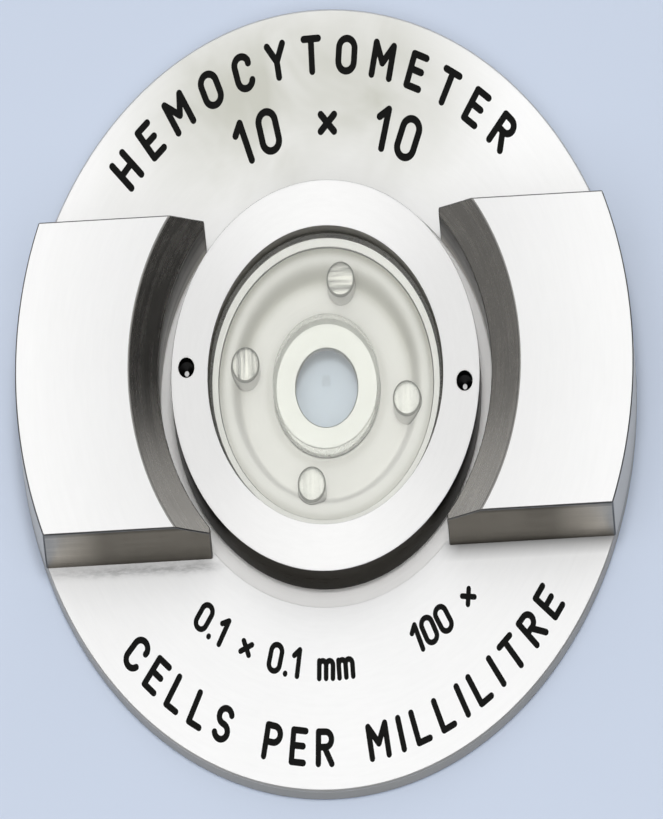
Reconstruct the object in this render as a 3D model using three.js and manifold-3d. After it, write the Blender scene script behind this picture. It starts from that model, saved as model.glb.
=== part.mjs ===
// Counting-chamber hemocytometer: a round metal base with two raised handle blocks, a moated
// carrier with an optical flat and four quartz-tipped spacer pins, and a ring-mounted cover
// glass that rests on the pins.
//
// Units are millimetres, +Z is up. The origin is the centre of the base's resting face.
// The handles stand at -X (left) and +X (right), and -Y is the front.
import * as THREE from "three";
import { mergeVertices } from "three/addons/utils/BufferGeometryUtils.js";
import Module from "manifold-3d";

// ---------------------------------------------------------------- driving dimensions
// Names ending in _R are radii, _Z heights above the resting face, _T thicknesses.
const BASE_R = 37.5; // 75 mm disc, the length of a microscope slide
const BASE_T = 2.3;
const BASE_EDGE = 0.2; // broken edges of the disc
const RECESS_R = 20.2; // shallow turned recess round the cover ring
const RECESS_Z = 2.0;
const BORE_R = 9.6; // the carrier spigot passes through here
const NUT_BORE_R = 12.3; // counterbore for the lock ring, from below
const NUT_BORE_Z = 1.2;

const HANDLE_TOP = 11.3;
const HANDLE_HALF_W = 15.0; // front and back faces at y = -15 and +15
const HANDLE_TIP_X = 14.3; // the sharp inner corners are taken off here
const HANDLE_TOP_INNER_R = 23.7; // where the finger slope meets the top
const HANDLE_SLOPE_Z = 8.8; // where the finger slope starts

const SCREW_X = 29.5;
const SCREW_Y = 9.5;
const SCREW_R = 1.5; // M3
const SCREW_HEAD_R = 2.75;
const SCREW_HEAD_Z = 0.15;
const SCREW_TIP_Z = 7.1;
const SCREW_TIP_BEVEL = 0.4;
const SCREW_SLOT_HALF_W = 0.4;
const SCREW_SLOT_DEPTH = 0.7;
const SCREW_HOLE_R = SCREW_R + 0.15; // clearance hole in the base
const SINK_MOUTH_R = SCREW_HEAD_R + 0.35; // countersink at its wide lower end
const SINK_MOUTH_Z = -0.2; // just below the resting face
const SINK_TOP_Z = 1.4;
const HANDLE_HOLE_R = SCREW_R + 0.05;
const HANDLE_HOLE_Z = SCREW_TIP_Z + 0.6; // blind end, above the screw tip

const CHAMBER_DEPTH = 0.01; // the ten-micrometre gap that makes the chamber
const TIP_Z = 6.1; // tops of the quartz tips, and the underside of the cover glass
const FLAT_R = 6.5; // optical flat
const FLAT_TOP = TIP_Z - CHAMBER_DEPTH;
const FLAT_T = 2.8;
const FLAT_BEVEL = 0.15;
const SEAT_R = FLAT_R + 0.1; // pocket that holds the flat
const SEAT_Z = FLAT_TOP - FLAT_T;
const PORT_R = 3.75; // light port under the flat
const PORT_LAND = 0.65; // height of the narrow lip above the conical flare
const PORT_R_LOW = 8.0;

const CARRIER_R = 12.95;
const CARRIER_EDGE = 0.2; // bevels of the rim and of the spigot
const CARRIER_RIM_R = 11.7; // inside edge of the flat rim
const CARRIER_RIM_Z = 5.4;
const MOAT_Z = 3.5;
const MOAT_FLOOR_R = 10.2; // where the coved moat wall meets the floor
const MOAT_WALL_STEPS = 8;
const SPIGOT_R = BORE_R - 0.1;
const SPIGOT_Z = 0.3;

const NUT_R = NUT_BORE_R - 0.1;
const NUT_INNER_R = SPIGOT_R + 0.05;
const NUT_BEVEL = 0.15;
const NUT_HOLE_R = 0.75; // two holes in the underside
const NUT_HOLE_CIRCLE_R = (SPIGOT_R + NUT_R) / 2;
const NUT_HOLE_Z = SPIGOT_Z + 0.8; // blind ends

const PIN_COUNT = 4;
const PIN_CIRCLE_R = 9.95;
const PIN_START_ANGLE = 90 - 11.8; // degrees from +X to the first pin
const PIN_R = 1.7;
const PIN_STEM_R = 1.0;
const PIN_STEM_Z = 2.3;
const STEM_HOLE_R = PIN_STEM_R + 0.05;
const STEM_HOLE_Z = PIN_STEM_Z - 0.15;
const STEM_HOLE_OVERRUN = 0.1; // carries the cut just past the moat floor
const PIN_FLAT_R = PIN_R + 0.08;
const TIP_T = 0.4;
const TIP_BEVEL = 0.08;
const PIN_TOP = TIP_Z - TIP_T;

const GLASS_T = 0.8;
const GLASS_BEVEL = 0.1;
const SEAL_T = 0.2; // black sealing ring that bonds the glass to the lip
const LIP_Z = TIP_Z - SEAL_T;
const COVER_R = 18.75;
const COVER_BORE_R = 14.15; // holds the glass
const GLASS_R = COVER_BORE_R - 0.1;
const COVER_LIP_R = 13.6; // flat of the lip under the seal
const COVER_INNER_R = 13.1; // the lip is bevelled down to this
const COVER_LIP_DROP = 0.5; // height of the lip's bevel
const COVER_BOTTOM = 2.6;
const COVER_TOP = 8.0;
const COVER_FOOT_OUTER_BEVEL = 0.4;
const COVER_FOOT_INNER_BEVEL = 0.3;
const COVER_TOP_OUTER_BEVEL = 0.15;
const COVER_TOP_INNER_BEVEL = 0.1;
const COVER_TURN = -4.7; // degrees about Z
const SPANNER_CIRCLE_R = 16.9;
const SPANNER_R = 0.98;
const SPANNER_DEPTH = 1.8;

const OVERRUN = 1; // how far a cutting tool runs on past a face

// Segments round a full turn.
const RING_SEGMENTS = 96;
const CARRIER_SEGMENTS = 72;
const PIN_SEGMENTS = 32;
const HOLE_SEGMENTS = 24;
const NUT_HOLE_SEGMENTS = 20;

// ---------------------------------------------------------------- materials
const metal = (color, roughness, metalness = 1.0) =>
  new THREE.MeshStandardMaterial({ color, roughness, metalness });

const glass = (color, opacity) =>
  new THREE.MeshStandardMaterial({
    color,
    opacity,
    transparent: true,
    roughness: 0.03,
    metalness: 0.0,
  });

const MATERIALS = {
  steel: metal(0xe4e4e1, 0.3),
  handleSteel: metal(0xd8d8d4, 0.35),
  screwSteel: metal(0xb9b9b6, 0.35),
  blackened: metal(0x33322f, 0.5, 0.6),
  rubber: new THREE.MeshStandardMaterial({ color: 0x1c1c1c, roughness: 0.8, metalness: 0.0 }),
  coverGlass: glass(0xe6ece4, 0.3),
  clearGlass: glass(0xf2f5f3, 0.35),
};

// ---------------------------------------------------------------- helpers
const wasm = await Module();
wasm.setup();

// A three.js geometry as a manifold-3d solid.
function solid(geometry) {
  const bare = geometry.clone();
  bare.deleteAttribute("normal");
  bare.deleteAttribute("uv");
  const merged = mergeVertices(bare, 1e-4);
  return new wasm.Manifold(
    new wasm.Mesh({
      numProp: 3,
      vertProperties: merged.attributes.position.array,
      triVerts: new Uint32Array(merged.index.array),
    }),
  );
}

// A manifold-3d solid as a three.js geometry.
function geometryOf(body) {
  const { vertProperties, triVerts } = body.getMesh();
  const geometry = new THREE.BufferGeometry();
  const positions = new THREE.BufferAttribute(new Float32Array(vertProperties), 3);
  geometry.setAttribute("position", positions);
  geometry.setIndex(new THREE.BufferAttribute(new Uint32Array(triVerts), 1));
  geometry.computeVertexNormals();
  return geometry;
}

// A solid with each tool geometry cut out of it in turn.
const cut = (body, tools) => tools.reduce((rest, tool) => rest.subtract(solid(tool)), body);

// Turns [radius, height] pairs about Z. A ring's profile runs counter-clockwise and is closed
// here; a solid of revolution's profile starts and ends on the axis.
function turned(profile, segments) {
  const onAxis = profile[0][0] === 0;
  const points = profile.map(([radius, z]) => new THREE.Vector2(radius, z));
  if (!onAxis) points.push(points[0].clone());
  return new THREE.LatheGeometry(points, segments).rotateX(Math.PI / 2);
}

// A disc on the Z axis from z0 to z1, bevelled top and bottom.
const bevelledDisc = (radius, z0, z1, bevel, segments) =>
  turned(
    [
      [0, z0],
      [radius - bevel, z0],
      [radius, z0 + bevel],
      [radius, z1 - bevel],
      [radius - bevel, z1],
      [0, z1],
    ],
    segments,
  );

// A cone along Z, radius r0 at z0 and r1 at z1.
const cone = (r0, z0, r1, z1, segments, x = 0, y = 0) =>
  new THREE.CylinderGeometry(r1, r0, z1 - z0, segments)
    .rotateX(Math.PI / 2)
    .translate(x, y, (z0 + z1) / 2);

// A rod along Z from z0 to z1.
const rod = (radius, z0, z1, segments, x, y) => cone(radius, z0, radius, z1, segments, x, y);

// Two rods, at -x and +x.
const rodPair = (radius, z0, z1, segments, x) =>
  [-x, x].map((place) => rod(radius, z0, z1, segments, place, 0));

const block = (x0, x1, y0, y1, z0, z1) =>
  new THREE.BoxGeometry(x1 - x0, y1 - y0, z1 - z0).translate(
    (x0 + x1) / 2,
    (y0 + y1) / 2,
    (z0 + z1) / 2,
  );

function mesh(name, geometry, material, x = 0, y = 0, z = 0) {
  const part = new THREE.Mesh(geometry, material.clone());
  part.name = name;
  part.position.set(x, y, z);
  return part;
}

// ---------------------------------------------------------------- places
const SCREW_PLACES = [
  ["left_front", -SCREW_X, -SCREW_Y],
  ["left_back", -SCREW_X, SCREW_Y],
  ["right_front", SCREW_X, -SCREW_Y],
  ["right_back", SCREW_X, SCREW_Y],
];

const PIN_PLACES = Array.from({ length: PIN_COUNT }, (_, i) => {
  const angle = THREE.MathUtils.degToRad(PIN_START_ANGLE + (360 / PIN_COUNT) * i);
  return [PIN_CIRCLE_R * Math.cos(angle), PIN_CIRCLE_R * Math.sin(angle)];
});

// ---------------------------------------------------------------- base plate and handles
function basePlate() {
  const disc = turned(
    [
      [NUT_BORE_R, 0],
      [BASE_R - BASE_EDGE, 0],
      [BASE_R, BASE_EDGE],
      [BASE_R, BASE_T - BASE_EDGE],
      [BASE_R - BASE_EDGE, BASE_T],
      [RECESS_R, BASE_T],
      [RECESS_R, RECESS_Z],
      [BORE_R, RECESS_Z],
      [BORE_R, NUT_BORE_Z],
      [NUT_BORE_R, NUT_BORE_Z],
    ],
    RING_SEGMENTS,
  );
  const holes = SCREW_PLACES.flatMap(([, x, y]) => [
    rod(SCREW_HOLE_R, -OVERRUN, BASE_T + OVERRUN, HOLE_SEGMENTS, x, y),
    cone(SINK_MOUTH_R, SINK_MOUTH_Z, SCREW_HOLE_R, SINK_TOP_Z, HOLE_SEGMENTS, x, y),
  ]);
  return mesh("base_plate", geometryOf(cut(solid(disc), holes)), MATERIALS.steel);
}

// One handle block: the part of a turned ring inside a window. Side is -1 for left, 1 for right.
function handle(name, side) {
  const arch = turned(
    [
      [RECESS_R, BASE_T],
      [BASE_R, BASE_T],
      [BASE_R, HANDLE_TOP],
      [HANDLE_TOP_INNER_R, HANDLE_TOP],
      [RECESS_R, HANDLE_SLOPE_Z],
    ],
    RING_SEGMENTS,
  );
  const farX = BASE_R + OVERRUN;
  const [x0, x1] = side < 0 ? [-farX, -HANDLE_TIP_X] : [HANDLE_TIP_X, farX];
  const window = block(x0, x1, -HANDLE_HALF_W, HANDLE_HALF_W, 0, HANDLE_TOP + OVERRUN);
  const holes = [-SCREW_Y, SCREW_Y].map((y) =>
    rod(HANDLE_HOLE_R, BASE_T - OVERRUN, HANDLE_HOLE_Z, HOLE_SEGMENTS, side * SCREW_X, y),
  );
  const body = cut(solid(arch).intersect(solid(window)), holes);
  return mesh(name, geometryOf(body), MATERIALS.handleSteel);
}

// Slotted countersunk screws, put in from below.
function handleScrews() {
  const blank = turned(
    [
      [0, SCREW_HEAD_Z],
      [SCREW_HEAD_R, SCREW_HEAD_Z],
      [SCREW_R, SCREW_HEAD_Z + SCREW_HEAD_R - SCREW_R],
      [SCREW_R, SCREW_TIP_Z - SCREW_TIP_BEVEL],
      [SCREW_R - SCREW_TIP_BEVEL, SCREW_TIP_Z],
      [0, SCREW_TIP_Z],
    ],
    HOLE_SEGMENTS,
  );
  const slotEndX = SCREW_HEAD_R + OVERRUN;
  const slot = block(
    -slotEndX,
    slotEndX,
    -SCREW_SLOT_HALF_W,
    SCREW_SLOT_HALF_W,
    -OVERRUN,
    SCREW_HEAD_Z + SCREW_SLOT_DEPTH,
  );
  const body = cut(solid(blank), [slot]);
  return SCREW_PLACES.map(([place, x, y]) =>
    mesh(`handle_screw_${place}`, geometryOf(body), MATERIALS.screwSteel, x, y),
  );
}

// ---------------------------------------------------------------- carrier and chamber
// The moat's outer wall from rim to floor, rounded over at the rim and coved at its foot.
function moatWall() {
  const wall = [];
  for (let i = MOAT_WALL_STEPS; i >= 0; i--) {
    const outward = i / MOAT_WALL_STEPS;
    const rise = (1 - Math.cos(Math.PI * outward)) / 2;
    wall.push([
      MOAT_FLOOR_R + (CARRIER_RIM_R - MOAT_FLOOR_R) * outward,
      MOAT_Z + (CARRIER_RIM_Z - MOAT_Z) * rise,
    ]);
  }
  return wall;
}

// Moat, seat for the flat, light port and spigot in one piece.
function carrier() {
  const cup = turned(
    [
      [PORT_R, SEAT_Z],
      [PORT_R, SEAT_Z - PORT_LAND],
      [PORT_R_LOW, SPIGOT_Z],
      [SPIGOT_R - CARRIER_EDGE, SPIGOT_Z],
      [SPIGOT_R, SPIGOT_Z + CARRIER_EDGE],
      [SPIGOT_R, RECESS_Z],
      [CARRIER_R, RECESS_Z],
      [CARRIER_R, CARRIER_RIM_Z - CARRIER_EDGE],
      [CARRIER_R - CARRIER_EDGE, CARRIER_RIM_Z],
      ...moatWall(),
      [SEAT_R, MOAT_Z],
      [SEAT_R, SEAT_Z],
    ],
    CARRIER_SEGMENTS,
  );
  // each pin has a stem hole, and a round flat for its shoulder sunk through the wall's foot
  const pockets = PIN_PLACES.flatMap(([x, y]) => [
    rod(STEM_HOLE_R, STEM_HOLE_Z, MOAT_Z + STEM_HOLE_OVERRUN, HOLE_SEGMENTS, x, y),
    rod(PIN_FLAT_R, MOAT_Z, CARRIER_RIM_Z + OVERRUN, PIN_SEGMENTS, x, y),
  ]);
  return mesh("chamber_carrier", geometryOf(cut(solid(cup), pockets)), MATERIALS.steel);
}

function opticalFlat() {
  const disc = bevelledDisc(FLAT_R, SEAT_Z, FLAT_TOP, FLAT_BEVEL, CARRIER_SEGMENTS);
  return mesh("optical_flat", disc, MATERIALS.clearGlass);
}

function spacerPin(number, x, y) {
  const pin = turned(
    [
      [0, PIN_STEM_Z],
      [PIN_STEM_R, PIN_STEM_Z],
      [PIN_STEM_R, MOAT_Z],
      [PIN_R, MOAT_Z],
      [PIN_R, PIN_TOP],
      [0, PIN_TOP],
    ],
    PIN_SEGMENTS,
  );
  return mesh(`spacer_pin_${number}`, pin, MATERIALS.steel, x, y);
}

function quartzTip(number, x, y) {
  const tip = turned(
    [
      [0, 0],
      [PIN_R, 0],
      [PIN_R, TIP_T - TIP_BEVEL],
      [PIN_R - TIP_BEVEL, TIP_T],
      [0, TIP_T],
    ],
    PIN_SEGMENTS,
  );
  return mesh(`quartz_tip_${number}`, tip, MATERIALS.clearGlass, x, y, PIN_TOP);
}

// The ring that draws the carrier down, from below.
function lockRing() {
  const nut = turned(
    [
      [NUT_INNER_R, SPIGOT_Z],
      [NUT_R - NUT_BEVEL, SPIGOT_Z],
      [NUT_R, SPIGOT_Z + NUT_BEVEL],
      [NUT_R, NUT_BORE_Z],
      [NUT_INNER_R, NUT_BORE_Z],
    ],
    CARRIER_SEGMENTS,
  );
  const holes = rodPair(NUT_HOLE_R, -OVERRUN, NUT_HOLE_Z, NUT_HOLE_SEGMENTS, NUT_HOLE_CIRCLE_R);
  return mesh("carrier_lock_ring", geometryOf(cut(solid(nut), holes)), MATERIALS.blackened);
}

// ---------------------------------------------------------------- cover
function coverRing() {
  const ring = turned(
    [
      [COVER_INNER_R + COVER_FOOT_INNER_BEVEL, COVER_BOTTOM],
      [COVER_R - COVER_FOOT_OUTER_BEVEL, COVER_BOTTOM],
      [COVER_R, COVER_BOTTOM + COVER_FOOT_OUTER_BEVEL],
      [COVER_R, COVER_TOP - COVER_TOP_OUTER_BEVEL],
      [COVER_R - COVER_TOP_OUTER_BEVEL, COVER_TOP],
      [COVER_BORE_R + COVER_TOP_INNER_BEVEL, COVER_TOP],
      [COVER_BORE_R, COVER_TOP - COVER_TOP_INNER_BEVEL],
      [COVER_BORE_R, LIP_Z],
      [COVER_LIP_R, LIP_Z],
      [COVER_INNER_R, LIP_Z - COVER_LIP_DROP],
      [COVER_INNER_R, COVER_BOTTOM + COVER_FOOT_INNER_BEVEL],
    ],
    RING_SEGMENTS,
  );
  const holeFloor = COVER_TOP - SPANNER_DEPTH;
  const holeEnd = COVER_TOP + OVERRUN;
  const holes = rodPair(SPANNER_R, holeFloor, holeEnd, HOLE_SEGMENTS, SPANNER_CIRCLE_R);
  return mesh("cover_ring", geometryOf(cut(solid(ring), holes)), MATERIALS.steel);
}

function coverGlass() {
  const disc = bevelledDisc(GLASS_R, 0, GLASS_T, GLASS_BEVEL, RING_SEGMENTS);
  return mesh("cover_glass", disc, MATERIALS.coverGlass, 0, 0, TIP_Z);
}

function coverSeal() {
  const seal = turned(
    [
      [COVER_LIP_R, 0],
      [GLASS_R, 0],
      [GLASS_R, SEAL_T],
      [COVER_LIP_R, SEAL_T],
    ],
    RING_SEGMENTS,
  );
  return mesh("cover_seal", seal, MATERIALS.rubber, 0, 0, LIP_Z);
}

// ---------------------------------------------------------------- scene graph
const baseGroup = new THREE.Group();
baseGroup.add(basePlate(), handle("handle_left", -1), handle("handle_right", 1));
baseGroup.add(...handleScrews(), carrier(), opticalFlat());
PIN_PLACES.forEach(([x, y], i) => {
  baseGroup.add(spacerPin(i + 1, x, y), quartzTip(i + 1, x, y));
});
baseGroup.add(lockRing());

const coverGroup = new THREE.Group();
coverGroup.rotation.z = THREE.MathUtils.degToRad(COVER_TURN);
coverGroup.add(coverRing(), coverGlass(), coverSeal());

const hemocytometer = new THREE.Group();
hemocytometer.name = "hemocytometer";
hemocytometer.add(baseGroup, coverGroup);

export default hemocytometer;
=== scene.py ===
import math

import bmesh
import bpy
from mathutils import Matrix, Vector
from mathutils.geometry import delaunay_2d_cdt


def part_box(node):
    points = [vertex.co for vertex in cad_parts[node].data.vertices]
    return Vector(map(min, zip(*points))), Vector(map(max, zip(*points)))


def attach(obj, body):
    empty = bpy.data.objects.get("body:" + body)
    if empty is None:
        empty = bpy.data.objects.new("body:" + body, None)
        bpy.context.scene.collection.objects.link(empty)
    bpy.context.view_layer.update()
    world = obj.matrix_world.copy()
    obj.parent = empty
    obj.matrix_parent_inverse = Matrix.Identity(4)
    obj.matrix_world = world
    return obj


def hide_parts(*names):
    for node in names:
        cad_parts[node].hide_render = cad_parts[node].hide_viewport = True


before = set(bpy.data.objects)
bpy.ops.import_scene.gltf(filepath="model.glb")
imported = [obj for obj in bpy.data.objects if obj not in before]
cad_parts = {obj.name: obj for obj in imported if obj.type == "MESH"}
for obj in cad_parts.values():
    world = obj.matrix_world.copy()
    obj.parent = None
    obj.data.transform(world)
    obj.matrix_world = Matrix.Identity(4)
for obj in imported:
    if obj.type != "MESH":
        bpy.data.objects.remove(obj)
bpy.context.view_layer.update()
MM = 0.001
SEG = 288

# ------------------------------------------------------------------ sizes, read from the frame (mm)


def span(node):
    lo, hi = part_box(node)
    return [v / MM for v in lo], [v / MM for v in hi]


def radius(node):
    lo, hi = span(node)
    return (hi[0] - lo[0]) / 2


def low(node):
    return span(node)[0][2]


def top(node):
    return span(node)[1][2]


def centre(node):
    lo, hi = span(node)
    return (lo[0] + hi[0]) / 2, (lo[1] + hi[1]) / 2


BASE_R, BASE_T = radius("base_plate"), top("base_plate")
HANDLE_TOP = top("handle_left")
HANDLE_W = span("handle_left")[1][1]
TIP_X = span("handle_right")[0][0]
COVER_R, COVER_LOW, COVER_TOP = radius("cover_ring"), low("cover_ring"), top("cover_ring")
GLASS_R, GLASS_LOW, GLASS_TOP = radius("cover_glass"), low("cover_glass"), top("cover_glass")
SEAL_R, SEAL_LOW, SEAL_TOP = radius("cover_seal"), low("cover_seal"), top("cover_seal")
FLAT_R, SEAT_Z, FLAT_TOP = radius("optical_flat"), low("optical_flat"), top("optical_flat")
CARRIER_R, CARRIER_LOW, RIM_Z = radius("chamber_carrier"), low("chamber_carrier"), top("chamber_carrier")
NUT_R, NUT_LOW, NUT_TOP = radius("carrier_lock_ring"), low("carrier_lock_ring"), top("carrier_lock_ring")
PINS = [centre(f"spacer_pin_{i}") for i in (1, 2, 3, 4)]
PIN_R, PIN_LOW, PIN_TOP = radius("spacer_pin_1"), low("spacer_pin_1"), top("spacer_pin_1")
TIP_LOW, TIP_TOP = low("quartz_tip_1"), top("quartz_tip_1")
SCREWS = {
    n: centre(n)
    for n in (
        "handle_screw_left_front",
        "handle_screw_left_back",
        "handle_screw_right_front",
        "handle_screw_right_back",
    )
}
SCREW_LOW, SCREW_TOP = low("handle_screw_left_front"), top("handle_screw_left_front")

# sections that a node's box doesn't give
RECESS_R, RECESS_Z, BORE_R = 20.2, 2.0, 9.6
NUT_BORE_R, NUT_BORE_Z = NUT_R + 0.1, 1.2
SLOPE_LOW_R, SLOPE_TOP_R, SLOPE_Z = RECESS_R, 23.7, 8.8
MOAT_Z, MOAT_WALL_R, MOAT_FLOOR_R = 3.5, 11.7, 10.2
SPIGOT_R, PORT_R, PORT_LAND, PORT_LOW_R = 9.5, 3.75, 0.65, 8.0
COVER_BORE_R, LIP_R, COVER_INNER_R = 14.28, 13.8, 13.1
COVER_TURN = math.radians(-4.7)
SPANNER_R, SPANNER_C, SPANNER_DEPTH = 0.98, 16.9, 1.8

# ------------------------------------------------------------------ mesh helpers


def make(name, verts, faces, mats, face_mats=None, smooth=28):
    """verts in mm."""
    me = bpy.data.meshes.new(name)
    me.from_pydata([(x * MM, y * MM, z * MM) for x, y, z in verts], [], faces)
    me.validate()
    for m in mats:
        me.materials.append(m)
    if face_mats:
        me.polygons.foreach_set("material_index", face_mats)
    ob = bpy.data.objects.new(name, me)
    bpy.context.scene.collection.objects.link(ob)
    shade(ob, smooth)
    return ob


def shade(ob, angle):
    """Flat faces stay flat and round ones are smooth."""
    me = ob.data
    me.polygons.foreach_set("use_smooth", [True] * len(me.polygons))
    me.set_sharp_from_angle(angle=math.radians(angle))
    me.update()


class Builder:
    """Collects faces with materials, sharing vertices that coincide."""

    def __init__(self, grain=4000):
        self.v, self.f, self.m, self.at, self.grain = [], [], [], {}, grain

    def vert(self, x, y, z):
        k = (round(x * self.grain), round(y * self.grain), round(z * self.grain))
        if k not in self.at:
            self.at[k] = len(self.v)
            self.v.append((x, y, z))
        return self.at[k]

    def face(self, pts, mat=0):
        idx = []
        for p in pts:
            i = self.vert(*p)
            if not idx or idx[-1] != i:
                idx.append(i)
        if len(idx) > 1 and idx[0] == idx[-1]:
            idx.pop()
        if len(set(idx)) >= 3:
            self.f.append(idx)
            self.m.append(mat)

    def lathe(self, profile, mats, seg=SEG, cx=0.0, cy=0.0, start=0.0):
        """profile: [(r, z), ...]; mats[i] is the material of the band from point i to i+1.
        Walk the profile so that the solid is on the left, seen with r to the right and z up."""
        ang = [start + 2 * math.pi * i / seg for i in range(seg)]
        cs = [(math.cos(a), math.sin(a)) for a in ang]
        for k in range(len(profile) - 1):
            (r0, z0), (r1, z1) = profile[k], profile[k + 1]
            for i in range(seg):
                (c0, s0), (c1, s1) = cs[i], cs[(i + 1) % seg]
                self.face(
                    [
                        (cx + r0 * c0, cy + r0 * s0, z0),
                        (cx + r0 * c1, cy + r0 * s1, z0),
                        (cx + r1 * c1, cy + r1 * s1, z1),
                        (cx + r1 * c0, cy + r1 * s0, z1),
                    ],
                    mats[k],
                )

    def flat(self, z, loops, keep, up=True, mat=0, classify=None):
        """A flat face at height z, cut along loops of (x, y); keep(x, y) says which triangles stay.
        classify is not used."""
        pts, edges, faces = [], [], []
        for loop, closed in loops:
            b = len(pts)
            pts += [Vector(p) for p in loop]
            n = len(loop)
            edges += [(b + i, b + (i + 1) % n) for i in range(n if closed else n - 1)]
        out = delaunay_2d_cdt(pts, edges, faces, 0, 1e-5)
        vs, tris = out[0], out[2]
        made = []
        for t in tris:
            p = [vs[i] for i in t]
            x, y = sum(q.x for q in p) / len(p), sum(q.y for q in p) / len(p)
            if not keep(x, y):
                continue
            area = (p[1].x - p[0].x) * (p[2].y - p[0].y) - (p[1].y - p[0].y) * (p[2].x - p[0].x)
            q = p if (area > 0) == up else p[::-1]
            self.face([(w.x, w.y, z) for w in q], mat)
            made.append(q)
        return made

    def build(self, name, mats, smooth=28):
        return make(name, self.v, self.f, mats, self.m, smooth)


def circle(r, cx=0.0, cy=0.0, seg=SEG, start=0.0):
    return [
        (cx + r * math.cos(start + 2 * math.pi * i / seg), cy + r * math.sin(start + 2 * math.pi * i / seg))
        for i in range(seg)
    ]


def outside(x, y, cx, cy, r, seg):
    """Whether a triangle's middle lies outside a round hole drawn with seg sides."""
    return math.hypot(x - cx, y - cy) > r * (1 - 1.6 * (1 - math.cos(math.pi / seg)))


def banded(corners):
    """corners: [(r, z, fillet radius, material of the band that follows), ...] -> profile, mats."""
    prof, mats = [], []
    n = len(corners)
    for i, (r, z, f, m) in enumerate(corners):
        if f and 0 < i < n - 1:
            a, b, c = Vector(corners[i - 1][:2]), Vector((r, z)), Vector(corners[i + 1][:2])
            u, w = (a - b).normalized(), (c - b).normalized()
            ang = u.angle(w)
            d = min(f / math.tan(ang / 2), (a - b).length * 0.49, (c - b).length * 0.49)
            f = d * math.tan(ang / 2)
            mid = b + (u + w).normalized() * (f / math.sin(ang / 2))
            s, e = b + u * d - mid, b + w * d - mid
            a0, a1 = math.atan2(s.y, s.x), math.atan2(e.y, e.x)
            turn = (a1 - a0 + math.pi) % (2 * math.pi) - math.pi
            for k in range(5):
                t = a0 + turn * k / 4
                prof.append((mid.x + f * math.cos(t), mid.y + f * math.sin(t)))
                mats.append(corners[i - 1][3] if k < 2 else m)
        else:
            prof.append((r, z))
            mats.append(m)
    return prof, mats[:-1]


def boolean(ob, cutters, op="DIFFERENCE"):
    for c in cutters:
        md = ob.modifiers.new("cut", "BOOLEAN")
        md.operation, md.object, md.solver = op, c, "EXACT"
        md.material_mode = "TRANSFER"
    dg = bpy.context.evaluated_depsgraph_get()
    me = bpy.data.meshes.new_from_object(ob.evaluated_get(dg), depsgraph=dg)
    ob.modifiers.clear()
    ob.data = me
    for c in cutters:
        bpy.data.objects.remove(c, do_unlink=True)
    return ob


def rod(name, r, z0, z1, x=0.0, y=0.0, seg=64, mats=()):
    b = Builder()
    b.lathe([(0, z0), (r, z0), (r, z1), (0, z1)], [0, 0, 0], seg, x, y)
    return b.build(name, list(mats))


def ride(ob, body, slot, *nodes):
    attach(ob, body)
    if nodes:
        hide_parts(*nodes)
    return ob


# ------------------------------------------------------------------ materials


class Tree:
    def __init__(self, name):
        self.mat = bpy.data.materials.new(name)
        self.mat.use_nodes = True
        self.nt = self.mat.node_tree
        self.nt.nodes.clear()
        self.out = self.node("ShaderNodeOutputMaterial")

    def node(self, kind, **values):
        n = self.nt.nodes.new(kind)
        for k, v in values.items():
            if hasattr(n, k):
                setattr(n, k, v)
            else:
                self.set(n.inputs[k.replace("_", " ")], v)
        return n

    def set(self, socket, v):
        if isinstance(v, bpy.types.NodeSocket):
            self.nt.links.new(v, socket)
        else:
            socket.default_value = v

    def math(self, op, a, b=0.0, c=None, clamp=False):
        n = self.nt.nodes.new("ShaderNodeMath")
        n.operation, n.use_clamp = op, clamp
        self.set(n.inputs[0], a)
        self.set(n.inputs[1], b)
        if c is not None:
            self.set(n.inputs[2], c)
        return n.outputs[0]

    def ramp(self, fac, lo, hi, a, b):
        n = self.nt.nodes.new("ShaderNodeMapRange")
        n.clamp = True
        self.set(n.inputs[0], fac)
        for i, v in enumerate((lo, hi, a, b)):
            n.inputs[i + 1].default_value = v
        return n.outputs[0]

    def mix(self, fac, a, b):
        n = self.nt.nodes.new("ShaderNodeMix")
        n.data_type = "RGBA"
        self.set(n.inputs[0], fac)
        self.set(n.inputs[6], a)
        self.set(n.inputs[7], b)
        return n.outputs[2]

    def noise(self, vector, scale, detail=3.0, rough=0.5, dist=0.0, w=None):
        n = self.nt.nodes.new("ShaderNodeTexNoise")
        if w is not None:
            n.noise_dimensions = "4D"
            self.set(n.inputs["W"], w)
        self.set(n.inputs["Vector"], vector)
        n.inputs["Scale"].default_value = scale
        n.inputs["Detail"].default_value = detail
        n.inputs["Roughness"].default_value = rough
        n.inputs["Distortion"].default_value = dist
        return n.outputs[0]

    def coords(self):
        c = self.nt.nodes.new("ShaderNodeTexCoord")
        s = self.nt.nodes.new("ShaderNodeSeparateXYZ")
        self.nt.links.new(c.outputs["Object"], s.inputs[0])
        return c.outputs["Object"], s.outputs[0], s.outputs[1], s.outputs[2]

    def vec(self, x, y, z):
        n = self.nt.nodes.new("ShaderNodeCombineXYZ")
        for i, v in enumerate((x, y, z)):
            self.set(n.inputs[i], v)
        return n.outputs[0]


def grey(v, warm=0.0):
    return (min(v * (1 + warm), 1.0), min(v, 1.0), v * (1 - 1.6 * warm), 1.0)


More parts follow.
